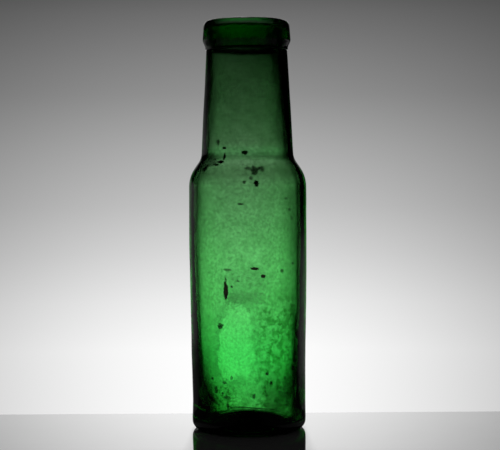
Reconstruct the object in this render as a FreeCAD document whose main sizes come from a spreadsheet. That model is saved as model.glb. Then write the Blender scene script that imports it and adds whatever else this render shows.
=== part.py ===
"""An antique wide-mouthed glass bottle.

A blown body and neck, a lip of glass laid round the end of the neck, a scrap of old label on the front and the
dried remains of what the bottle once held. Millimetres. +Z is up and the front is -Y. The origin is the middle of
the ring that the bottle stands on.
"""

import FreeCAD
import Part
import math
import os

import Sketcher

# Driving sizes: lengths in millimetres and turns in degrees from the front
SIZES = {
    "body_height": 93.8,
    "body_diameter": 43.8,
    "foot_diameter": 42.1,
    "straight_height": 23.8,
    "heel_rounding": 1.9,
    "shoulder_rise": 6.8,
    "shoulder_rounding": 12.4,
    "neck_length": 50.8,
    "neck_root_diameter": 34.4,
    "neck_rounding": 6.0,
    "body_wall": 2.0,
    "foot_wall": 4.8,
    "thick_height": 34.0,
    "neck_wall": 2.0,
    "neck_end_wall": 3.5,
    "inner_shoulder_rounding": 10.4,
    "inner_neck_rounding": 8.0,
    "base_thickness": 2.8,
    "floor_rounding": 3.5,
    "foot_ring_width": 5.0,
    "kick_height": 2.8,
    "mouth_diameter": 22.0,
    "mouth_depth": 11.6,
    "mouth_flare": 3.2,
    "mouth_rounding": 1.2,
    "lip_height": 11.0,
    "lip_thickness": 1.75,
    "lip_taper": 0.5,
    "lip_flare": 2.2,
    "lip_cover": 2.4,
    "lip_rounding": 2.2,
    "lip_edge_rounding": 1.2,
    "label_bottom": 45.5,
    "label_height": 14.5,
    "label_width": 15.8,
    "label_thickness": 0.3,
    "label_turn": -3.4,
    "crust_thickness": 0.8,
    "flake_thickness": 0.7,
}

# Crusts on the inner shoulder: share of the slope, turn, and width and height as shares of the body's diameter
CRUSTS = [
    (0.60, -52.0, 0.25, 0.16),
    (0.66, -37.0, 0.083, 0.074),
    (0.25, 10.5, 0.115, 0.078),
]
# Flakes on the inner wall: share of the body's height, turn, and width and height as shares of its diameter
FLAKES = [
    (0.149, 48.0, 0.15, 0.345),
    (0.220, 60.0, 0.037, 0.060),
    (0.128, -27.0, 0.185, 0.253),
    (0.400, -33.0, 0.030, 0.040),
    (0.600, 17.0, 0.042, 0.042),
    (0.631, 9.5, 0.074, 0.023),
    (0.900, 10.0, 0.046, 0.040),
    (0.814, -11.0, 0.046, 0.023),
    (0.806, 55.0, 0.032, 0.185),
]

doc = FreeCAD.newDocument("glass_bottle")
sheet = doc.addObject("Spreadsheet::Sheet", "Sizes")
for row, (alias, number) in enumerate(SIZES.items(), 1):
    sheet.set(f"A{row}", alias)
    sheet.set(f"B{row}", str(number))
    sheet.setAlias(f"B{row}", alias)
doc.recompute()


class Size:
    """A size worked out from the sheet: its number now, and the formula that binds a feature to it."""

    def __init__(self, number, formula):
        self.number = number
        self.formula = formula

    def __add__(self, other):
        other = as_size(other)
        return Size(self.number + other.number, f"({self.formula} + {other.formula})")

    def __sub__(self, other):
        other = as_size(other)
        return Size(self.number - other.number, f"({self.formula} - {other.formula})")

    def __mul__(self, other):
        other = as_size(other)
        return Size(self.number * other.number, f"({self.formula} * {other.formula})")

    def __truediv__(self, other):
        other = as_size(other)
        return Size(self.number / other.number, f"({self.formula} / {other.formula})")


def as_size(value):
    return value if isinstance(value, Size) else Size(value, repr(value))


def size(alias):
    return Size(SIZES[alias], f"Sizes.{alias}")


def least(one, other):
    one, other = as_size(one), as_size(other)
    return Size(min(one.number, other.number), f"min({one.formula}; {other.formula})")


def most(one, other):
    one, other = as_size(one), as_size(other)
    return Size(max(one.number, other.number), f"max({one.formula}; {other.formula})")


def root(square):
    return Size(math.sqrt(square.number), f"sqrt({square.formula})")


# Outside of the blown glass
foot_radius = size("foot_diameter") / 2
body_radius = size("body_diameter") / 2
shoulder_height = size("body_height")
taper_height = shoulder_height - size("straight_height")
neck_root_radius = size("neck_root_diameter") / 2
neck_root_height = shoulder_height + size("shoulder_rise")
total_height = neck_root_height + size("neck_length")
mouth_radius = size("mouth_diameter") / 2
neck_end_radius = mouth_radius + size("neck_end_wall")
neck_end_height = total_height - size("lip_cover")

# Inside of it. The inner corners of the shoulder and neck lie a third of a wall lower, which keeps the wall even.
cavity_radius = body_radius - size("body_wall")
inner_shoulder_height = shoulder_height - size("body_wall") / 3
inner_root_radius = neck_root_radius - size("neck_wall")
inner_root_height = neck_root_height - size("neck_wall") / 3
bore_bottom = total_height - size("mouth_depth")
flare_bottom = bore_bottom - size("mouth_flare")

# Base: the kick-up is a ball's cap that ends at the standing ring, and the floor over it is parallel to it
kick_radius = foot_radius - size("heel_rounding") - size("foot_ring_width")
kick_ball = (kick_radius * kick_radius + size("kick_height") * size("kick_height")) / (size("kick_height") * 2)
kick_centre = size("kick_height") - kick_ball
floor_ball = kick_ball + size("base_thickness")


def outer_radius(height):
    """Radius of the body's outside at a height below the shoulder: it widens evenly up to the straight part."""
    share = least(1.0, height / taper_height)
    return foot_radius + (body_radius - foot_radius) * share


def inner_radius(height):
    """Radius of the body's inside at a height below the shoulder: the wall thickens towards the foot."""
    share = most(0.0, as_size(1.0) - height / size("thick_height"))
    return outer_radius(height) - size("body_wall") - (size("foot_wall") - size("body_wall")) * share


def neck_radius(height):
    """Radius of the neck's outside at a height between its root and its end."""
    share = (height - neck_root_height) / (neck_end_height - neck_root_height)
    return neck_root_radius + (neck_end_radius - neck_root_radius) * share


def revolved(label, corners, turn=None):
    """A body turned about +Z from a closed outline of (radius, height) corners, all round or by a turn in degrees."""
    body = doc.addObject("PartDesign::Body", label)
    body.Label = label
    plane = [f for f in body.Origin.OriginFeatures if f.Role == "XZ_Plane"][0]
    sketch = body.newObject("Sketcher::SketchObject", label + "_outline")
    sketch.AttachmentSupport = [(plane, "")]
    sketch.MapMode = "FlatFace"
    places = [FreeCAD.Vector(radius.number, height.number, 0) for radius, height in corners]
    for start, end in zip(places, places[1:] + places[:1]):
        sketch.addGeometry(Part.LineSegment(start, end), False)
    for line, (radius, height) in enumerate(corners):
        before = (line - 1) % len(corners)
        sketch.addConstraint(Sketcher.Constraint("Coincident", before, 2, line, 1))
        for kind, value in (("DistanceX", radius), ("DistanceY", height)):
            number = sketch.addConstraint(Sketcher.Constraint(kind, -1, 1, line, 1, value.number))
            sketch.setExpression(f"Constraints[{number}]", value.formula)
    turned = body.newObject("PartDesign::Revolution", label + "_turned")
    turned.Profile = sketch
    turned.ReferenceAxis = (sketch, ["V_Axis"])
    turned.Angle = 360.0
    if turn is not None:
        turned.Midplane = True
        turned.setExpression("Angle", turn.formula)
    doc.recompute()
    return body


def rounded(body, corner, radius):
    """Rounds the ring edge of a turned body that runs through a corner of its outline."""
    at_radius, at_height = (value.number for value in corner)
    base = body.Tip
    names = []
    for number, edge in enumerate(base.Shape.Edges, 1):
        if isinstance(edge.Curve, Part.Circle):
            off = abs(edge.Curve.Radius - at_radius) + abs(edge.Curve.Center.z - at_height)
            if off < 0.001:
                names.append(f"Edge{number}")
    fillet = body.newObject("PartDesign::Fillet", f"{body.Name}_round_{len(body.Group)}")
    fillet.Base = (base, names)
    fillet.Radius = radius.number
    fillet.setExpression("Radius", radius.formula)
    doc.recompute()


def room(lower, upper, share):
    """The largest rounding that takes up a share of the slope between two corners."""
    drop = lower[0] - upper[0]
    rise = upper[1] - lower[1]
    slope = root(drop * drop + rise * rise)
    return Size(
        share * slope.number * (slope.number + rise.number) / max(abs(drop.number), 0.01),
        f"{share} * {slope.formula} * ({slope.formula} + {rise.formula}) / max(abs({drop.formula}); 0.01)",
    )


def cut(label, base, tool):
    made = doc.addObject("Part::Cut", label)
    made.Label = label
    made.Base = base
    made.Tool = tool
    return made


def ball(label, radius, centre_height):
    made = doc.addObject("Part::Sphere", label)
    made.setExpression("Radius", radius.formula)
    made.setExpression("Placement.Base.z", centre_height.formula)
    return made


nothing = Size(0.0, "0 mm")

# The blown glass: outer form, less the inside, less the kick-up
shoulder = (body_radius, shoulder_height)
neck_root = (neck_root_radius, neck_root_height)
foot = (foot_radius, nothing)
outer_form = revolved(
    "outer_form",
    [
        (nothing, nothing),
        foot,
        (body_radius, taper_height),
        shoulder,
        neck_root,
        (neck_end_radius, neck_end_height),
        (nothing, neck_end_height),
    ],
)
rounded(outer_form, shoulder, least(size("shoulder_rounding"), room(shoulder, neck_root, 0.6)))
rounded(outer_form, neck_root, least(size("neck_rounding"), room(shoulder, neck_root, 0.35)))
rounded(outer_form, foot, size("heel_rounding"))

inner_shoulder = (cavity_radius, inner_shoulder_height)
inner_root = (inner_root_radius, inner_root_height)
floor_edge = (inner_radius(size("base_thickness")), size("base_thickness"))
thick_end = (inner_radius(size("thick_height")), size("thick_height"))
cavity_form = revolved(
    "cavity_form",
    [
        (nothing, size("base_thickness")),
        floor_edge,
        thick_end,
        (cavity_radius, taper_height),
        inner_shoulder,
        inner_root,
        (neck_radius(flare_bottom) - size("neck_wall"), flare_bottom),
        (mouth_radius, bore_bottom),
        (mouth_radius, neck_end_height),
        (nothing, neck_end_height),
    ],
)
rounded(cavity_form, inner_shoulder, least(size("inner_shoulder_rounding"), room(inner_shoulder, inner_root, 0.6)))
rounded(cavity_form, inner_root, least(size("inner_neck_rounding"), room(inner_shoulder, inner_root, 0.35)))
rounded(cavity_form, floor_edge, size("floor_rounding"))

cavity = cut("cavity", cavity_form, ball("floor_dome", floor_ball, kick_centre))
bottle_blank = cut("bottle_blank", outer_form, cavity)
bottle_body = cut("bottle_body", bottle_blank, ball("kick_dome", kick_ball, kick_centre))

# The lip: seated on the neck's outside and end, thickest low down and rolled over at the top
lip_bottom = total_height - size("lip_height")
lip_radius = neck_end_radius + size("lip_thickness")
lip_edge = (lip_radius, lip_bottom + size("lip_flare"))
lip_top = (lip_radius - size("lip_taper"), total_height)
lip_mouth = (mouth_radius, total_height)
applied_lip = revolved(
    "applied_lip",
    [
        (neck_radius(lip_bottom), lip_bottom),
        lip_edge,
        lip_top,
        lip_mouth,
        (mouth_radius, neck_end_height),
        (neck_end_radius, neck_end_height),
    ],
)
rounded(applied_lip, lip_top, size("lip_rounding"))
rounded(applied_lip, lip_mouth, size("mouth_rounding"))
rounded(applied_lip, lip_edge, size("lip_edge_rounding"))

# The label scrap: a thin curved square that follows the outside of the body
label_bottom = size("label_bottom")
label_top = label_bottom + size("label_height")
label_blank = revolved(
    "label_blank",
    [
        (outer_radius(label_bottom) - size("body_wall") / 2, label_bottom),
        (outer_radius(label_bottom) + size("label_thickness"), label_bottom),
        (outer_radius(label_top) + size("label_thickness"), label_top),
        (outer_radius(label_top) - size("body_wall") / 2, label_top),
    ],
    turn=size("label_width") / body_radius * (180 / math.pi),
)
label_blank.Placement = FreeCAD.Placement(
    FreeCAD.Vector(0, 0, 0), FreeCAD.Rotation(FreeCAD.Vector(0, 0, 1), SIZES["label_turn"] - 90)
)
label_remnant = cut("label_remnant", label_blank, outer_form)


def lens(name, radius, height, turn, width, tall, thickness, tilt):
    """A dried blob on the inner wall: half of a flat egg, cut off by the wall that it clings to."""
    egg = doc.addObject("Part::Ellipsoid", name + "_egg")
    egg.setExpression("Radius1", (tall / 2).formula)
    egg.setExpression("Radius2", thickness.formula)
    egg.setExpression("Radius3", (width / 2).formula)
    lean = FreeCAD.Rotation(FreeCAD.Vector(0, 1, 0), -tilt)
    egg.Placement = FreeCAD.Placement(
        FreeCAD.Vector(0, 0, 0), FreeCAD.Rotation(FreeCAD.Vector(0, 0, 1), turn - 90) * lean
    )
    across, forward = math.sin(math.radians(turn)), -math.cos(math.radians(turn))
    egg.setExpression("Placement.Base.x", (radius * across).formula)
    egg.setExpression("Placement.Base.y", (radius * forward).formula)
    egg.setExpression("Placement.Base.z", height.formula)
    made = doc.addObject("Part::Common", name)
    made.Base = egg
    made.Tool = cavity
    return made


def group(label, blobs):
    made = doc.addObject("Part::Compound", label)
    made.Label = label
    made.Links = blobs
    return made


# Dried crust on the inner slope of the shoulder
slope_drop = inner_root_radius - cavity_radius
slope_rise = inner_root_height - inner_shoulder_height
slope_tilt = math.degrees(math.atan2(-slope_drop.number, slope_rise.number))
crusts = []
for share, turn, width, tall in CRUSTS:
    crusts.append(
        lens(
            f"crust_{len(crusts) + 1}",
            cavity_radius + slope_drop * share,
            inner_shoulder_height + slope_rise * share,
            turn,
            size("body_diameter") * width,
            size("body_diameter") * tall,
            size("crust_thickness"),
            slope_tilt,
        )
    )
shoulder_residue = group("shoulder_residue", crusts)

# Dried flakes and smears on the inner wall
flakes = []
for share, turn, width, tall in FLAKES:
    height = shoulder_height * share
    flakes.append(
        lens(
            f"flake_{len(flakes) + 1}",
            inner_radius(height),
            height,
            turn,
            size("body_diameter") * width,
            size("body_diameter") * tall,
            size("flake_thickness"),
            0.0,
        )
    )
wall_residue = group("wall_residue", flakes)

doc.recompute()

# Every object is sound before anything is written
for item in doc.Objects:
    if "Invalid" in item.State or "Error" in item.State:
        raise RuntimeError(f"{item.Label} did not build: {item.State}")
pieces = [bottle_body, applied_lip, label_remnant, shoulder_residue, wall_residue]
for piece in pieces:
    if piece.Shape.isNull() or not piece.Shape.isValid():
        raise RuntimeError(f"{piece.Label} has no sound shape")

os.makedirs("parts", exist_ok=True)
for piece in pieces:
    piece.Shape.exportStep(f"parts/{piece.Label}.step")
    print(piece.Label, len(piece.Shape.Solids), round(piece.Shape.Volume, 2))
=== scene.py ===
import math

import bpy
from mathutils import Matrix, Vector, noise


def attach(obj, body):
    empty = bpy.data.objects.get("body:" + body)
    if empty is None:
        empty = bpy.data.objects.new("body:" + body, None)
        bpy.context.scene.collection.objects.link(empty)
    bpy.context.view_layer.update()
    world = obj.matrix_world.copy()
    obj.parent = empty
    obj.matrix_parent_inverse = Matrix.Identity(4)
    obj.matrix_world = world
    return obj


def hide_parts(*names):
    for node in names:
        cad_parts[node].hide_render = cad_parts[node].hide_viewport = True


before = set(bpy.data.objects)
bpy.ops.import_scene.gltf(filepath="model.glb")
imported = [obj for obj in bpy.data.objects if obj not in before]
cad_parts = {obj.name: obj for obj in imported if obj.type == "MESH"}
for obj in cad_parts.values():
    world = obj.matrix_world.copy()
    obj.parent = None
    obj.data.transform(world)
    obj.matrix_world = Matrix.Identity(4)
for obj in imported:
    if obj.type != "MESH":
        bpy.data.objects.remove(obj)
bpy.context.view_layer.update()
MM = 0.001
WHITE = (1.0, 1.0, 1.0)

# Sizes in millimetres

BODY_RADIUS, FOOT_RADIUS = 21.9, 21.13
# The body widens between the first two heights and is straight up to the third
TAPER_BOTTOM, TAPER_TOP, SHOULDER = 10.0, 70.0, 93.8
NECK_ROOT, NECK_ROOT_RADIUS = 100.6, 17.2
NECK_END, NECK_END_RADIUS = 149.0, 14.5
LIP_BOTTOM, LIP_TOP = 140.4, 151.4
MOUTH_RADIUS = 11.0
CAVITY_RADIUS, CAVITY_FOOT_RADIUS = 19.9, 19.05
# The dome under the base and the dome of the floor over it end at the same radius
DOME_RADIUS, KICK_TOP, FLOOR_TOP, FLOOR_EDGE = 14.15, 2.8, 5.6, 2.9
DOME_STEPS = 8
# The wall gains glass at the sides towards the foot, and how fast that fades with height
FOOT_GAIN, FOOT_FADE = 1.7, 18.0
# How far the inside lies to the right of the outside, by height, and more of it right at the foot
SHIFT = [(40.0, -0.1), (92.0, -0.1), (106.0, -0.15), (126.0, -0.2), (150.0, -0.6)]
FOOT_SHIFT, FOOT_REACH = 1.1, 11.0
# Waves of the blown glass: how closely they follow round it, how tall they are,
# how deep the broad ones and the fine ones are, and how many times finer those are
WAVES_AROUND, WAVE_TALL, BROAD_WAVE, FINE_WAVE, FINER = 1.3, 22.0, 0.16, 0.05, 3.1
# They fade out below this height and within this radius
CALM_HEIGHT, CALM_RADIUS = 6.0, 8.0
# The lip stands this far off the neck, so that their faces don't coincide
SEAT_GAP = 0.02
SEAT_STEPS = 8
SIDES = 160


def neck_radius(height):
    """Radius of the neck's outer wall at a height."""
    share = (height - NECK_ROOT) / (NECK_END - NECK_ROOT)
    return NECK_ROOT_RADIUS + (NECK_END_RADIUS - NECK_ROOT_RADIUS) * share


# Outlines: corners of the glass as (radius, height, rounding)

OUTSIDE = [
    (DOME_RADIUS, 0.0, 1.5),
    (21.05, 0.0, 3.0),
    (21.25, 4.0, 6.0),
    (FOOT_RADIUS, TAPER_BOTTOM, 60.0),
    (BODY_RADIUS, TAPER_TOP, 400.0),
    (BODY_RADIUS, SHOULDER, 12.4),
    (NECK_ROOT_RADIUS, NECK_ROOT, 6.0),
    (neck_radius(LIP_BOTTOM), LIP_BOTTOM, 0.0),
    (NECK_END_RADIUS, NECK_END, 0.0),
]
INSIDE = [
    (MOUTH_RADIUS, NECK_END, 0.0),
    (MOUTH_RADIUS, 141.6, 0.8),
    (12.9, 140.2, 0.6),
    (15.5, 100.8, 9.0),
    (CAVITY_RADIUS, 93.1, 10.4),
    (CAVITY_RADIUS, TAPER_TOP, 400.0),
    (CAVITY_FOOT_RADIUS, 2.6, 1.6),
    (DOME_RADIUS, FLOOR_EDGE, 0.0),
]
LIP = [
    (neck_radius(LIP_BOTTOM) + SEAT_GAP, LIP_BOTTOM, 0.0),
    (neck_radius(LIP_BOTTOM) + 0.22, LIP_BOTTOM + 0.15, 0.1),
    (15.3, LIP_BOTTOM + 1.2, 2.0),
    (16.3, LIP_BOTTOM + 3.5, 2.2),
    (15.8, LIP_TOP, 2.2),
    (MOUTH_RADIUS, LIP_TOP, 1.2),
    (MOUTH_RADIUS, NECK_END + SEAT_GAP, 0.0),
]
# Inside this radius the lip's top follows the bore
LIP_TURN = 13.0
# Length of a step along the outlines, and turn of a step in an arc, in radians
WALL_STEP, LIP_STEP, ARC_TURN = 1.5, 0.8, 0.12
# A point this near the axis or a height counts as on it
ON_AXIS, ON_HEIGHT = 1e-6, 0.01


def rounded_path(corners, step):
    """Points along the runs between (across, up, rounding) corners, with an arc at each rounded one."""
    places = [Vector(corner[:2]) for corner in corners]
    path = [places[0]]
    for before, corner, after, (_, _, rounding) in zip(places, places[1:], places[2:], corners[1:]):
        back, ahead = (before - corner).normalized(), (after - corner).normalized()
        half = back.angle(ahead) / 2
        if rounding <= 0:
            path.append(corner)
            continue
        reach = rounding / math.tan(half)
        centre = corner + (back + ahead).normalized() * (rounding / math.sin(half))
        start, end = corner + back * reach - centre, corner + ahead * reach - centre
        turn = math.pi - 2 * half
        parts = max(2, round(turn * rounding / step), round(turn / ARC_TURN))
        sense = 1 if start.x * end.y - start.y * end.x > 0 else -1
        for part in range(parts + 1):
            angle = sense * turn * part / parts
            path.append(centre + Matrix.Rotation(angle, 2) @ start)
    path.append(places[-1])
    filled = [path[0]]
    for start, end in zip(path, path[1:]):
        parts = max(1, math.ceil((end - start).length / step))
        filled += [start.lerp(end, part / parts) for part in range(1, parts + 1)]
    return [(point.x, point.y) for point in filled]


def dome(top, edge_height):
    """Points of a low dome from its middle out to just short of its edge."""
    shares = [step / DOME_STEPS for step in range(DOME_STEPS)]
    return [(DOME_RADIUS * share, top + (edge_height - top) * share**2) for share in shares]


def between(pairs, at):
    """Value at a place on a line through (place, value) pairs, eased from one to the next."""
    if at <= pairs[0][0]:
        return pairs[0][1]
    for (low, first), (high, second) in zip(pairs, pairs[1:]):
        if at <= high:
            share = (at - low) / (high - low)
            return first + (second - first) * share * share * (3 - 2 * share)
    return pairs[-1][1]


inside_path = rounded_path(INSIDE, WALL_STEP)
inside_by_height = sorted((height, radius) for radius, height in inside_path)


def outside_radius(height):
    """Radius of the body's outer wall at a height below the shoulder."""
    share = min(1.0, (height - TAPER_BOTTOM) / (TAPER_TOP - TAPER_BOTTOM))
    return FOOT_RADIUS + (BODY_RADIUS - FOOT_RADIUS) * share


def inside_radius(height):
    """Radius of the glass's inner wall at a height."""
    for (low, first), (high, second) in zip(inside_by_height, inside_by_height[1:]):
        if low <= height <= high and high > low:
            return first + (second - first) * (height - low) / (high - low)
    return inside_by_height[0][1]


def ripple(angle, height):
    """Faint unevenness of blown glass, in millimetres."""
    around = Vector((math.cos(angle) * WAVES_AROUND, math.sin(angle) * WAVES_AROUND, height / WAVE_TALL))
    return BROAD_WAVE * noise.noise(around) + FINE_WAVE * noise.noise(around * FINER)


def place(radius, angle, height, inner):
    """Where a point of the glass lies. Angles run from the front round to the right."""
    fade = min(1.0, height / CALM_HEIGHT, radius / CALM_RADIUS)
    radius += ripple(angle, height) * max(0.0, fade)
    shift = 0.0
    if inner:
        on_wall = min(1.0, max(0.0, (radius - DOME_RADIUS) / (CAVITY_FOOT_RADIUS - DOME_RADIUS)))
        radius -= FOOT_GAIN * math.exp(-height / FOOT_FADE) * on_wall * math.sin(angle) ** 2
        shift = between(SHIFT, height) + FOOT_SHIFT * math.exp(-((height / FOOT_REACH) ** 2))
    return Vector((radius * math.sin(angle) + shift, -radius * math.cos(angle), height)) * MM


def link(name, mesh):
    """An object of the part, which rides on its only body."""
    thing = bpy.data.objects.new(name, mesh)
    bpy.context.scene.collection.objects.link(thing)
    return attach(thing, "root")


def turned(name, path, closed):
    """A solid of revolution from (radius, height, inner, fused) points: a ring, or shut at both poles.

    Faces between two fused points are where one glass runs on into the other.
    """
    points, faces, fused = [], [], []
    rings = []
    for radius, height, inner, _ in path:
        if radius < ON_AXIS:
            rings.append([len(points)])
            points.append(place(0.0, 0.0, height, inner))
            continue
        rings.append(range(len(points), len(points) + SIDES))
        for side in range(SIDES):
            points.append(place(radius, 2 * math.pi * side / SIDES, height, inner))
    pairs = list(zip(rings, rings[1:])) + ([(rings[-1], rings[0])] if closed else [])
    for number, (low, high) in enumerate(pairs):
        joined = path[number][3] and path[(number + 1) % len(path)][3]
        for side in range(SIDES):
            after = (side + 1) % SIDES
            if len(low) == 1:
                face = (low[0], high[after], high[side])
            elif len(high) == 1:
                face = (low[side], low[after], high[0])
            else:
                face = (low[side], low[after], high[after], high[side])
            faces.append(face)
            fused.append(1.0 if joined else 0.0)
    mesh = bpy.data.meshes.new(name)
    mesh.from_pydata(points, [], faces)
    mesh.attributes.new("fused", "FLOAT", "FACE").data.foreach_set("value", fused)
    mesh.polygons.foreach_set("use_smooth", [not joined for joined in fused])
    return link(name, mesh)


# Nodes

def nodes_of(name):
    """A new material and its empty node tree."""
    material = bpy.data.materials.new(name)
    material.use_nodes = True
    tree = material.node_tree
    tree.nodes.clear()
    return material, tree


def node(tree, kind, settings=None, **inputs):
    """A node with its settings, and its inputs set to a value or linked to a socket.

    An input is named with _ for each space, or i and its number where names repeat.
    """
    made = tree.nodes.new("ShaderNode" + kind)
    for key, value in (settings or {}).items():
        setattr(made, key, value)
    for key, value in inputs.items():
        numbered = key[0] == "i" and key[1:].isdigit()
        target = made.inputs[int(key[1:]) if numbered else key.replace("_", " ")]
        if isinstance(value, bpy.types.NodeSocket):
            tree.links.new(value, target)
        else:
            target.default_value = value
    return made


def maths(tree, operation, first, second=0.0, third=0.0, clamp=False):
    """The result of an operation on up to three values."""
    made = node(tree, "Math", {"operation": operation, "use_clamp": clamp}, i0=first, i1=second, i2=third)
    return made.outputs[0]


def product(tree, first, *others):
    """Values multiplied together."""
    for other in others:
        first = maths(tree, "MULTIPLY", first, other)
    return first


def most(tree, first, *others):
    """The largest of some values."""
    for other in others:
        first = maths(tree, "MAXIMUM", first, other)
    return first


def eased(tree, value, low, high, first=0.0, second=1.0):
    """A smooth step, from first where a value is low to second where it is high."""
    made = node(
        tree,
        "MapRange",
        {"interpolation_type": "SMOOTHSTEP"},
        Value=value,
        From_Min=low,
        From_Max=high,
        To_Min=first,
        To_Max=second,
    )
    return made.outputs[0]


def blend(tree, share, first, second):
    """A value that goes from first to second with a share."""
    return node(tree, "Mix", {"data_type": "FLOAT"}, i0=share, i2=first, i3=second).outputs[0]


def ramp(tree, value, stops):
    """A colour ramp from (place, colour) stops."""
    made = node(tree, "ValToRGB", None, Fac=value)
    band = made.color_ramp
    while len(band.elements) < len(stops):
        band.elements.new(0.5)
    for element, (at, colour) in zip(band.elements, stops):
        element.position = at
        element.color = (*colour, 1.0)
    return made.outputs[0]


def times(tree, first, second, share=1.0):
    """One colour multiplied by another."""
    made = node(tree, "Mix", {"data_type": "RGBA", "blend_type": "MULTIPLY"}, i0=share, i6=first, i7=second)
    return made.outputs[2]


def tint(tree, colour, mask, by):
    """A colour multiplied by another one where a mask is 1."""
    return times(tree, colour, ramp(tree, mask, [(0.0, WHITE), (1.0, by)]))


def grey(level):
    """A colour with no hue."""
    return (level, level, level)


def grain(tree, at, scale, detail, roughness):
    """A noise from 0 to 1."""
    made = node(tree, "TexNoise", None, Vector=at, Scale=scale, Detail=detail, Roughness=roughness)
    return made.outputs["Fac"]


def speckle(tree, at, scale, low, high, detail=3.0):
    """A noise read as 0 below low and 1 above high."""
    return eased(tree, grain(tree, at, scale, detail, 0.6), low, high)


# Glass

# Colour of the old film on the glass by share of the bottle's height, darker round the shoulder. Its
# darkening up the neck, in the band just under the lip and over the lip's top is painted shade.
FILM_AND_SHADE = [
    (0.00, (0.75, 0.90, 0.75)),
    (0.10, (0.60, 0.98, 0.72)),
    (0.18, (0.58, 1.00, 0.74)),
    (0.30, (0.86, 1.00, 0.90)),
    (0.42, WHITE),
    (0.605, (0.96, 0.78, 0.92)),
    (0.63, (0.87, 0.69, 0.82)),
    (0.65, (0.70, 0.56, 0.67)),
    (0.665, (0.82, 0.77, 0.80)),
    (0.68, (1.00, 0.95, 1.00)),
    (0.70, (0.88, 0.74, 0.84)),
    (0.75, (0.77, 0.67, 0.74)),
    (0.89, (0.57, 0.48, 0.54)),
    (0.925, (0.46, 0.40, 0.45)),
    (0.935, WHITE),
    (0.955, (0.95, 0.72, 0.95)),
    (0.975, (0.95, 0.72, 0.95)),
    (0.985, (0.45, 0.36, 0.45)),
    (1.00, (0.30, 0.24, 0.30)),
]
GLASS_IOR = 1.52
GLASS_COLOUR = (0.0, 0.90, 0.10, 1.0)
# The clean patch on the front: its middle, half its height, and half its width, which narrows with height
PATCH_ACROSS, PATCH_UP, PATCH_HALF_HEIGHT = -4.4, 35.0, 13.5
PATCH_HALF_WIDTH, PATCH_NARROWS = 9.15, -0.09
# The dark arch over the base, painted shade: heights at its middle where it is gone and full, and its fall to
# the sides
ARCH_CLEAR, ARCH_DARK, ARCH_FALL = 10.9, 9.9, 0.0257


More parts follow.
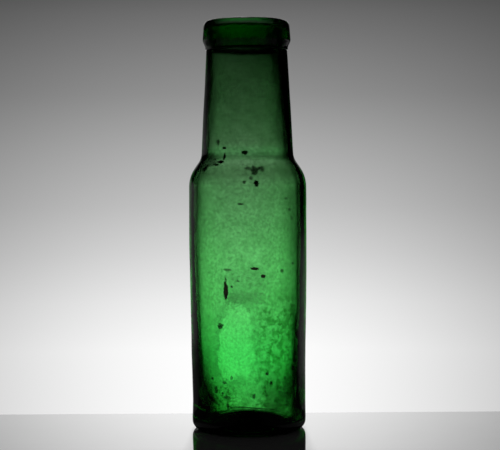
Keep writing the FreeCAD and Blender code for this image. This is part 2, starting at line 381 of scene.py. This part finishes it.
def dirt_and_shade(tree, at, across, forward, up, dirt):
    """The colour of the film of old dirt on the glass with painted shade in it, and how dusty it is. Lengths
    are in millimetres.
    """
    front = eased(tree, forward, 4.0, -12.0)
    # The colour by height holds old dirt and painted shade up the neck and on the lip
    film_and_shade = ramp(tree, maths(tree, "DIVIDE", up, LIP_TOP), FILM_AND_SHADE)
    uneven = maths(tree, "SUBTRACT", grain(tree, at, 260.0, 5.0, 0.65), 0.5)

    # The clean patch, with a darker ragged line along its left side
    half_width = maths(tree, "MULTIPLY_ADD", up, PATCH_NARROWS, PATCH_HALF_WIDTH)
    wide = maths(tree, "DIVIDE", maths(tree, "SUBTRACT", across, PATCH_ACROSS), half_width)
    tall = maths(tree, "DIVIDE", maths(tree, "SUBTRACT", up, PATCH_UP), PATCH_HALF_HEIGHT)
    cubes = [maths(tree, "POWER", maths(tree, "ABSOLUTE", length), 3.0) for length in (wide, tall)]
    off = maths(tree, "MULTIPLY_ADD", uneven, 3.2, maths(tree, "ADD", *cubes))
    clean = product(tree, eased(tree, off, 1.08, 0.84), front)
    ridge = product(tree, eased(tree, off, 0.90, 1.10), eased(tree, off, 2.2, 1.3), front)
    ridge = product(tree, ridge, eased(tree, across, 2.0, -4.0, 0.0, dirt))
    film_and_shade = tint(tree, film_and_shade, ridge, grey(0.80))

    # Dust and cloud everywhere else
    soiled = product(tree, maths(tree, "SUBTRACT", 1.0, clean), dirt)
    dull = product(tree, soiled, front, eased(tree, up, 56.0, 36.0))
    film_and_shade = tint(tree, film_and_shade, dull, grey(0.88))
    dust = product(tree, speckle(tree, at, 900.0, 0.40, 0.66), soiled)
    film_and_shade = tint(tree, film_and_shade, dust, (0.70, 0.74, 0.70))
    cloud = product(tree, speckle(tree, at, 190.0, 0.36, 0.66), soiled)
    film_and_shade = tint(tree, film_and_shade, cloud, (0.86, 0.90, 0.86))

    # Spots low on the right, and specks in the lower left corner
    low_right = product(tree, eased(tree, across, -2.0, 7.0), eased(tree, up, 58.0, 44.0), front)
    spots = product(tree, speckle(tree, at, 430.0, 0.50, 0.58, 6.0), low_right)
    film_and_shade = tint(tree, film_and_shade, spots, (0.28, 0.45, 0.26))
    low_left = product(tree, eased(tree, across, -14.0, -11.0), eased(tree, across, -3.0, -6.0))
    low_left = product(tree, low_left, eased(tree, up, 21.0, 16.0), front)
    specks = product(tree, speckle(tree, at, 1000.0, 0.53, 0.58), low_left)
    film_and_shade = tint(tree, film_and_shade, specks, (0.20, 0.30, 0.18))

    # Painted shade down the right edge of the body and neck, and at both sides low down
    edge = product(tree, eased(tree, across, 10.0, 16.0), eased(tree, up, 96.0, 86.0))
    edge = product(tree, edge, eased(tree, up, 34.0, 44.0))
    neck_edge = product(tree, eased(tree, across, 6.5, 12.0), eased(tree, up, 102.0, 110.0))
    film_and_shade = tint(tree, film_and_shade, product(tree, most(tree, edge, neck_edge), front), grey(0.68))
    left_side = product(tree, eased(tree, across, -9.0, -14.5), eased(tree, up, 40.0, 8.0))
    right_side = product(tree, eased(tree, across, 0.0, 9.0), eased(tree, up, 29.0, 14.0, 0.0, 0.80))
    right_side = product(tree, right_side, eased(tree, across, 17.0, 10.0, 0.3, 1.0))
    sides = product(tree, most(tree, left_side, right_side), front)
    film_and_shade = tint(tree, film_and_shade, sides, (0.15, 0.19, 0.14))

    # Painted shade on the sides of the lip
    cheek = eased(tree, maths(tree, "ABSOLUTE", across), 12.0, 14.2)
    cheek = product(tree, cheek, eased(tree, up, 141.0, 143.0), eased(tree, forward, 2.0, -2.0))
    film_and_shade = tint(tree, film_and_shade, cheek, grey(0.12))

    # Painted shade in the corners of the heel and in the dark arch between them, and grime round the foot
    ragged = maths(tree, "MULTIPLY_ADD", uneven, 16.0, up)
    left_heel = eased(tree, maths(tree, "MULTIPLY_ADD", ragged, 0.5, across), -5.5, -9.0)
    right_heel = eased(tree, maths(tree, "MULTIPLY_ADD", ragged, -0.5, across), 10.0, 13.0)
    heel = product(tree, most(tree, left_heel, right_heel), eased(tree, up, 30.0, 18.0))
    heel = product(tree, heel, eased(tree, forward, 14.0, -8.0))
    arch = maths(tree, "MULTIPLY_ADD", product(tree, across, across), ARCH_FALL, up)
    arch = product(tree, eased(tree, arch, ARCH_CLEAR, ARCH_DARK), front)
    film_and_shade = tint(tree, film_and_shade, most(tree, heel, arch), grey(0.14))
    foot = product(tree, eased(tree, up, 26.0, 10.0), front)
    grime = product(tree, speckle(tree, at, 300.0, 0.40, 0.62), foot)
    film_and_shade = tint(tree, film_and_shade, grime, (0.45, 0.55, 0.45))
    return film_and_shade, dust


def glass(name, dirt, density, wave_stretch, wave_strength):
    """Deep green glass: the colour is in its depth, and a film of old dirt with painted shade tints its
    surface.
    """
    material, tree = nodes_of(name)
    at = node(tree, "TexCoord").outputs["Object"]
    parts = node(tree, "SeparateXYZ", None, Vector=at)
    across, forward, up = (maths(tree, "DIVIDE", parts.outputs[axis], MM) for axis in "XYZ")
    film_and_shade, dust = dirt_and_shade(tree, at, across, forward, up, dirt)

    slant = node(tree, "Mapping", None, Vector=at, Rotation=(0.0, 0.14, 0.0), Scale=(1.0, 1.0, wave_stretch))
    wave = grain(tree, slant.outputs[0], 90.0, 3.0, 0.55)
    bump = node(tree, "Bump", None, Strength=wave_strength, Distance=0.0006, Height=wave)
    # The bore of the mouth is rougher
    square = maths(tree, "MULTIPLY_ADD", across, across, product(tree, forward, forward))
    bore = eased(tree, maths(tree, "SQRT", square), 13.0, 12.2)
    bore = product(tree, bore, eased(tree, up, 139.0, 141.5))
    rough = maths(tree, "MULTIPLY_ADD", bore, 0.3, eased(tree, dust, 0.0, 1.0, 0.012, 0.06))
    # The base colour carries the dirt film and the shade painted into it
    shader = node(
        tree,
        "BsdfPrincipled",
        None,
        Base_Color=film_and_shade,
        Roughness=rough,
        IOR=GLASS_IOR,
        Transmission_Weight=1.0,
        Normal=bump.outputs[0],
    )
    fused = node(tree, "Attribute", {"attribute_name": "fused"}).outputs["Fac"]
    clear = node(tree, "BsdfTransparent")
    surface = node(tree, "MixShader", None, i0=fused, i1=shader.outputs[0], i2=clear.outputs[0])
    depth = node(tree, "VolumeAbsorption", None, Color=GLASS_COLOUR, Density=density)
    node(tree, "OutputMaterial", None, Surface=surface.outputs[0], Volume=depth.outputs[0])
    return material


bottle_path = [(radius, height, False, False) for radius, height in dome(KICK_TOP, 0.0)]
for radius, height in rounded_path(OUTSIDE, WALL_STEP):
    bottle_path.append((radius, height, False, height > LIP_BOTTOM - ON_HEIGHT))
for radius, height in inside_path:
    bottle_path.append((radius, height, True, height > NECK_END - ON_HEIGHT))
for radius, height in reversed(dome(FLOOR_TOP, FLOOR_EDGE)):
    bottle_path.append((radius, height, True, False))
bottle = turned("bottle_glass", bottle_path, False)
green = glass("green_glass", dirt=1.0, density=400.0, wave_stretch=1.0, wave_strength=0.12)
bottle.data.materials.append(green)
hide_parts("bottle_body")

# The lip's shown outline, and then its seat on the neck's end and down the neck's outside
lip_path = []
lip_outline = rounded_path(LIP, LIP_STEP)
for number, (radius, height) in enumerate(lip_outline):
    lip_path.append((radius, height, radius < LIP_TURN, number in (0, len(lip_outline) - 1)))
seat_top = NECK_END + SEAT_GAP
lip_path.append((NECK_END_RADIUS + SEAT_GAP, seat_top, False, True))
for step in range(1, SEAT_STEPS):
    height = seat_top + (LIP_BOTTOM - seat_top) * step / SEAT_STEPS
    lip_path.append((neck_radius(height) + SEAT_GAP, height, False, True))
lip = turned("lip_glass", lip_path, True)
lip_green = glass("lip_glass", dirt=0.1, density=150.0, wave_stretch=5.0, wave_strength=0.35)
lip.data.materials.append(lip_green)
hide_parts("applied_lip")

# Stains

# Marks as (turn from the front, height, width, tall, cover), in degrees and millimetres.
# Their cover is how much light they stop.
SHOULDER_MARKS = [
    (-60, 98.8, 15.0, 8.5, 0.42),
    (-54, 96.3, 2.6, 3.6, 0.75),
    (-30, 101.0, 1.2, 4.0, 1.0),
    (-34, 98.9, 3.6, 1.3, 0.95),
    (-40, 97.9, 3.6, 1.2, 0.8),
    (-31, 104.3, 1.7, 1.2, 1.0),
    (-42, 106.4, 1.9, 2.4, 0.55),
    (-3, 102.6, 2.6, 1.8, 1.0),
    (8, 95.8, 4.2, 3.4, 0.66),
    (1, 96.5, 2.6, 1.2, 0.42),
    (16, 96.3, 2.4, 2.4, 0.48),
    (4, 93.1, 1.8, 1.6, 0.45),
    (9, 91.5, 2.4, 2.5, 0.95),
    (-3, 91.9, 1.6, 1.3, 0.6),
]
WALL_MARKS = [
    (-7, 84.2, 2.9, 0.9, 0.8),
    (47, 82.0, 1.5, 1.2, 0.8),
    (42, 86.0, 1.6, 1.0, 0.5),
    (50, 78.8, 1.8, 2.0, 0.4),
    (-10, 56.6, 1.7, 0.9, 0.5),
    (-17, 54.5, 1.2, 1.1, 0.7),
    (37, 59.9, 1.8, 1.6, 0.5),
    (52, 62.4, 1.5, 1.0, 0.6),
    (-30, 40.2, 3.0, 2.4, 0.65),
    (62, 36.3, 2.6, 4.6, 1.0),
    (54, 24.0, 2.4, 2.4, 0.85),
    (20, 22.9, 1.7, 1.7, 0.6),
    (24, 19.4, 1.4, 2.0, 0.6),
    (5, 14.9, 1.6, 2.6, 0.55),
    (-37, 16.7, 2.0, 3.6, 0.55),
    (-26, 19.6, 2.2, 1.4, 0.5),
    (-18, 21.4, 1.3, 2.0, 0.45),
    (-29, 15.6, 1.0, 1.0, 0.8),
    (-41, 20.7, 1.2, 1.4, 0.6),
    (-24, 14.2, 3.3, 2.1, 0.5),
    (-24, 10.9, 1.5, 3.2, 0.5),
    (45, 16.7, 7.0, 15.0, 0.32),
]
LABEL_MARKS = [
    (-3, 54.7, 15.6, 13.8, 0.10),
    (-2, 50.6, 14.6, 5.4, 0.12),
    (-22, 53.3, 1.9, 9.8, 1.0),
    (6, 61.1, 3.4, 1.2, 1.0),
    (14, 58.4, 1.9, 1.9, 1.0),
    (-20, 60.7, 3.4, 1.4, 0.36),
]
# Points round a stain, and its rings by share of its size
RIM = 24
RINGS = (0.0, 0.35, 0.7, 1.0)
# How far a stain's outline wanders, by share of its size, and how often
WANDER, WANDER_OFTEN = 0.35, 1.6
# Stains lie this far off the glass. Those wider than the second value can be squarer than an oval.
STAIN_LIFT, WIDE_MARK = 0.03, 8
OVAL, NEAR_SQUARE = 2.0, 6.0


def stains(name, marks, wall_radius, inner, thick, wide_form=OVAL):
    """Thin uneven patches that cling to the glass, each one a flat closed lens, oval or squarer."""
    points, faces, cover, edge = [], [], [], []
    lift = -STAIN_LIFT if inner else STAIN_LIFT
    layers = [(share, False) for share in RINGS] + [(share, True) for share in reversed(RINGS[:-1])]
    for number, (turn, height, wide, tall, stops) in enumerate(marks):
        # Each mark has its own part of the noise
        seed = Vector((number * 3.7, 1.3, 0.4))
        form = wide_form if wide > WIDE_MARK else OVAL
        rings = []
        for share, swollen in layers:
            count = RIM if share else 1
            rings.append(range(len(points), len(points) + count))
            raised = lift
            if swollen:
                raised += math.copysign(thick * (1 - share * share), lift)
            for step in range(count):
                way = 2 * math.pi * step / RIM
                right, above = math.cos(way), math.sin(way)
                reach = share * (abs(right) ** form + abs(above) ** form) ** (-1 / form)
                wandering = noise.noise(seed + Vector((right, above, 0)) * WANDER_OFTEN)
                reach *= 1 + WANDER * wandering
                up = height + reach * tall / 2 * above
                radius = wall_radius(up)
                angle = math.radians(turn) + reach * wide / 2 * right / radius
                points.append(place(radius + raised, angle, up, inner))
                cover.append(stops)
                edge.append(share)
        for low, high in zip(rings, rings[1:]):
            for step in range(RIM):
                after = (step + 1) % RIM
                if len(low) == 1:
                    faces.append((low[0], high[step], high[after]))
                elif len(high) == 1:
                    faces.append((low[step], high[0], low[after]))
                else:
                    faces.append((low[step], high[step], high[after], low[after]))
    if inner:
        faces = [tuple(reversed(face)) for face in faces]
    mesh = bpy.data.meshes.new(name)
    mesh.from_pydata(points, [], faces)
    for title, values in (("cover", cover), ("edge", edge)):
        mesh.attributes.new(title, "FLOAT", "POINT").data.foreach_set("value", values)
    mesh.shade_smooth()
    return link(name, mesh)


def stain(name, dark, light, soft):
    """Dried matter that thins out raggedly towards its edge."""
    material, tree = nodes_of(name)
    at = node(tree, "TexCoord").outputs["Object"]
    mottle = grain(tree, at, 900.0, 4.0, 0.65)
    tone = ramp(tree, mottle, [(0.35, dark), (0.7, light)])
    edge = node(tree, "Attribute", {"attribute_name": "edge"}).outputs["Fac"]
    cover = node(tree, "Attribute", {"attribute_name": "cover"}).outputs["Fac"]
    ragged = maths(tree, "MULTIPLY_ADD", maths(tree, "SUBTRACT", mottle, 0.5), 1.6, edge)
    there = product(tree, eased(tree, ragged, 1.0, 1.0 - soft), cover)
    matter = node(tree, "BsdfPrincipled", None, Base_Color=tone, Roughness=0.85)
    clear = node(tree, "BsdfTransparent")
    surface = node(tree, "MixShader", None, i0=there, i1=clear.outputs[0], i2=matter.outputs[0])
    node(tree, "OutputMaterial", None, Surface=surface.outputs[0])
    return material


crust = stains("shoulder_crust", SHOULDER_MARKS, inside_radius, inner=True, thick=0.25)
dried_crust = stain("dried_crust", dark=(0.012, 0.016, 0.010), light=(0.04, 0.05, 0.03), soft=0.45)
crust.data.materials.append(dried_crust)
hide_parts("shoulder_residue")
flakes = stains("wall_flakes", WALL_MARKS, inside_radius, inner=True, thick=0.2)
dried_film = stain("dried_film", dark=(0.010, 0.022, 0.008), light=(0.04, 0.045, 0.02), soft=0.5)
flakes.data.materials.append(dried_film)
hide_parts("wall_residue")
label = stains("label_scrap", LABEL_MARKS, outside_radius, inner=False, thick=0.15, wide_form=NEAR_SQUARE)
old_label = stain("old_label", dark=(0.012, 0.030, 0.010), light=(0.08, 0.07, 0.035), soft=0.35)
label.data.materials.append(old_label)
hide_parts("label_remnant")

# The stage

TABLE_LOW, TABLE_HIGH = (-0.7, -0.7, -0.02), (0.7, 0.027, 0.0)


def table_top():
    """A pale table top, polished so that it mirrors at a low angle."""
    material, tree = nodes_of("table_top")
    at = node(tree, "TexCoord").outputs["Object"]
    mottle = node(tree, "TexNoise", None, Vector=at, Scale=60.0, Detail=4.0).outputs["Fac"]
    tone = ramp(tree, mottle, [(0.3, grey(0.78)), (0.7, grey(0.84))])
    # The table shows dark where the glass mirrors it, and pale through the glass
    ray = node(tree, "LightPath").outputs
    mirrored = maths(tree, "SUBTRACT", ray["Is Glossy Ray"], ray["Is Transmission Ray"], clamp=True)
    tone = times(tree, tone, (*grey(0.06), 1.0), mirrored)
    dull = node(tree, "BsdfDiffuse", None, Color=tone)
    shine = node(tree, "BsdfGlossy", None, Color=(*grey(0.95), 1.0), Roughness=0.0)
    facing = node(tree, "LayerWeight", None, Blend=0.5).outputs["Facing"]
    share = eased(tree, facing, 0.745, 0.79, 0.08, 0.80)
    surface = node(tree, "MixShader", None, i0=share, i1=dull.outputs[0], i2=shine.outputs[0])
    node(tree, "OutputMaterial", None, Surface=surface.outputs[0])
    return material


def slab(name, low, high):
    """A box between two corners."""
    corners = [(x, y, z) for x in (low[0], high[0]) for y in (low[1], high[1]) for z in (low[2], high[2])]
    sides = [(0, 1, 3, 2), (4, 6, 7, 5), (0, 4, 5, 1), (2, 3, 7, 6), (0, 2, 6, 4), (1, 5, 7, 3)]
    mesh = bpy.data.meshes.new(name)
    mesh.from_pydata(corners, [], sides)
    thing = bpy.data.objects.new(name, mesh)
    bpy.context.scene.collection.objects.link(thing)
    return thing


table = slab("table", TABLE_LOW, TABLE_HIGH)
table.data.materials.append(table_top())

# Light

# Brightness by degrees above the horizon: the backdrop as seen, and the part over it that is only mirrored
LEVEL_REACH = 20.0
SEEN_LEVELS = [
    (-20.0, 0.0),
    (-16.0, 0.9),
    (-11.0, 1.0),
    (-8.0, 1.0),
    (-5.95, 0.877),
    (-3.86, 0.70),
    (-1.77, 0.548),
    (0.68, 0.42),
    (3.1, 0.285),
    (6.6, 0.155),
    (8.0, 0.09),
    (11.0, 0.015),
    (20.0, 0.0),
]
MIRRORED_LEVELS = [(7.0, 0.0), (8.5, 1.0), (10.7, 1.0), (12.2, 0.86), (16.0, 0.10), (20.0, 0.0)]
# The backdrop from other sides, the room in a sharp mirror, and the light that falls on dull things
PALE_ROOM, MIRRORED_ROOM, ROOM_LIGHT = 0.75, 0.7, 0.035


def bell(tree, value, middle, spread):
    """A bell curve of a value."""
    off = maths(tree, "DIVIDE", maths(tree, "SUBTRACT", value, middle), spread)
    return maths(tree, "EXPONENT", product(tree, off, off, -0.5))


def levels(tree, rise, stops):
    """Brightness from (degrees above the horizon, level) stops, within LEVEL_REACH of it."""
    along = maths(tree, "ADD", rise, LEVEL_REACH)
    along = maths(tree, "DIVIDE", along, 2 * LEVEL_REACH, clamp=True)
    return ramp(tree, along, [((up + LEVEL_REACH) / (2 * LEVEL_REACH), grey(level)) for up, level in stops])


def studio():
    """A lit backdrop behind the bottle, brightest low down, dark beside it and pale from other sides."""
    world = bpy.data.worlds.new("studio")
    bpy.context.scene.world = world
    world.use_nodes = True
    tree = world.node_tree
    tree.nodes.clear()
    way = node(tree, "TexCoord").outputs["Generated"]
    parts = node(tree, "SeparateXYZ", None, Vector=way).outputs
    rise = product(tree, maths(tree, "ARCSINE", parts["Z"]), 180 / math.pi)
    aside = product(tree, maths(tree, "ARCTAN2", parts["X"], parts["Y"]), 180 / math.pi)
    away = maths(tree, "ABSOLUTE", aside)
    ray = node(tree, "LightPath").outputs
    bounced = ray["Glossy Depth"]

    # What is seen past the bottle and through it
    lit = product(tree, bell(tree, aside, -0.6, 12.4), eased(tree, away, 22.0, 11.5))
    lit = product(tree, levels(tree, rise, SEEN_LEVELS), lit)
    under_ceiling = eased(tree, rise, 12.0, 4.0)
    far = product(tree, eased(tree, away, 65.0, 78.0), under_ceiling)
    below = most(tree, product(tree, ray["Is Camera Ray"], under_ceiling), eased(tree, rise, -14.0, -19.0))
    below = product(tree, eased(tree, away, 20.0, 30.0), below)
    backdrop = most(tree, lit, product(tree, most(tree, far, below), PALE_ROOM))
    # It is weaker after a reflection inside the glass, except a little below the horizon
    kept = product(tree, eased(tree, rise, 4.0, 1.0), eased(tree, rise, -9.5, -7.5))
    kept = maths(tree, "MULTIPLY_ADD", kept, 0.9, 0.1)
    backdrop = blend(tree, bounced, backdrop, product(tree, backdrop, kept))

    # What the glass and the table mirror. A sharp mirror, as the table is, shows the room and no side lights.
    over = product(tree, levels(tree, rise, MIRRORED_LEVELS), bell(tree, aside, -0.5, 8.9))
    gloss = most(tree, over, lit)
    room = product(tree, eased(tree, away, 40.0, 75.0), eased(tree, bounced, 1.0, 2.0, MIRRORED_ROOM, 0.0))
    mirror = most(tree, gloss, room)
    left = product(tree, eased(tree, aside, -70.0, -50.0), eased(tree, aside, -12.0, -20.0))
    left = product(tree, left, eased(tree, rise, 7.5, 1.5), eased(tree, rise, -9.8, -6.8, 0.03, 0.12))
    right = product(tree, eased(tree, aside, 70.0, 50.0), eased(tree, aside, 12.0, 20.0))
    right = product(tree, right, eased(tree, rise, -2.0, -6.0), eased(tree, rise, -10.2, -8.6, 0.03, 0.13))
    overhead = product(tree, eased(tree, rise, 18.0, 28.0), eased(tree, rise, 75.0, 55.0))
    overhead = product(tree, overhead, bell(tree, aside, -3.0, 3.5))
    gloss = most(tree, gloss, left, right, overhead)
    gloss = blend(tree, ray["Is Singular Ray"], gloss, mirror)

    through = maths(tree, "ADD", ray["Is Camera Ray"], ray["Is Transmission Ray"], clamp=True)
    level = blend(tree, ray["Is Glossy Ray"], ROOM_LIGHT, gloss)
    level = blend(tree, through, level, backdrop)
    glow = node(tree, "Background", None, Color=(*WHITE, 1.0), Strength=level)
    node(tree, "OutputWorld", None, Surface=glow.outputs[0])


# The lamp's place and width in metres, and its power in watts
LAMP_PLACE, LAMP_WIDTH, LAMP_POWER = Vector((0.0, 1.45, 0.95)), 0.12, 38.0


def back_light():
    """A soft lamp high behind the bottle, which throws its shadow forward."""
    lamp = bpy.data.lights.new("back_light", "AREA")
    lamp.size = LAMP_WIDTH
    lamp.energy = LAMP_POWER
    thing = bpy.data.objects.new("back_light", lamp)
    bpy.context.scene.collection.objects.link(thing)
    facing = LAMP_PLACE.to_track_quat("Z", "Y").to_matrix().to_4x4()
    thing.matrix_world = Matrix.Translation(LAMP_PLACE) @ facing
    thing.visible_camera = False
    thing.visible_transmission = False
    thing.visible_glossy = False


back_light()
studio()

# Camera: focal length and picture width in the photo's pixels, place in metres, and turns in degrees

FOCAL_PIXELS, PICTURE_WIDTH = 1309, 500
SENSOR_WIDTH = 36.0
CAMERA_PLACE = (-0.00012, -0.4876, 0.0979)
CAMERA_TURN, CAMERA_DIP, CAMERA_ROLL = -0.10886, 2.6, -0.35

camera_data = bpy.data.cameras.new("photo_camera")
camera_data.sensor_width = SENSOR_WIDTH
camera_data.lens = FOCAL_PIXELS * SENSOR_WIDTH / PICTURE_WIDTH
camera = bpy.data.objects.new("photo_camera", camera_data)
bpy.context.scene.collection.objects.link(camera)
camera.matrix_world = (
    Matrix.Translation(CAMERA_PLACE)
    @ Matrix.Rotation(math.radians(CAMERA_TURN), 4, "Z")
    @ Matrix.Rotation(math.radians(90 - CAMERA_DIP), 4, "X")
    @ Matrix.Rotation(math.radians(CAMERA_ROLL), 4, "Z")
)
bpy.context.scene.camera = camera
bpy.context.scene.view_settings.view_transform = "Standard"
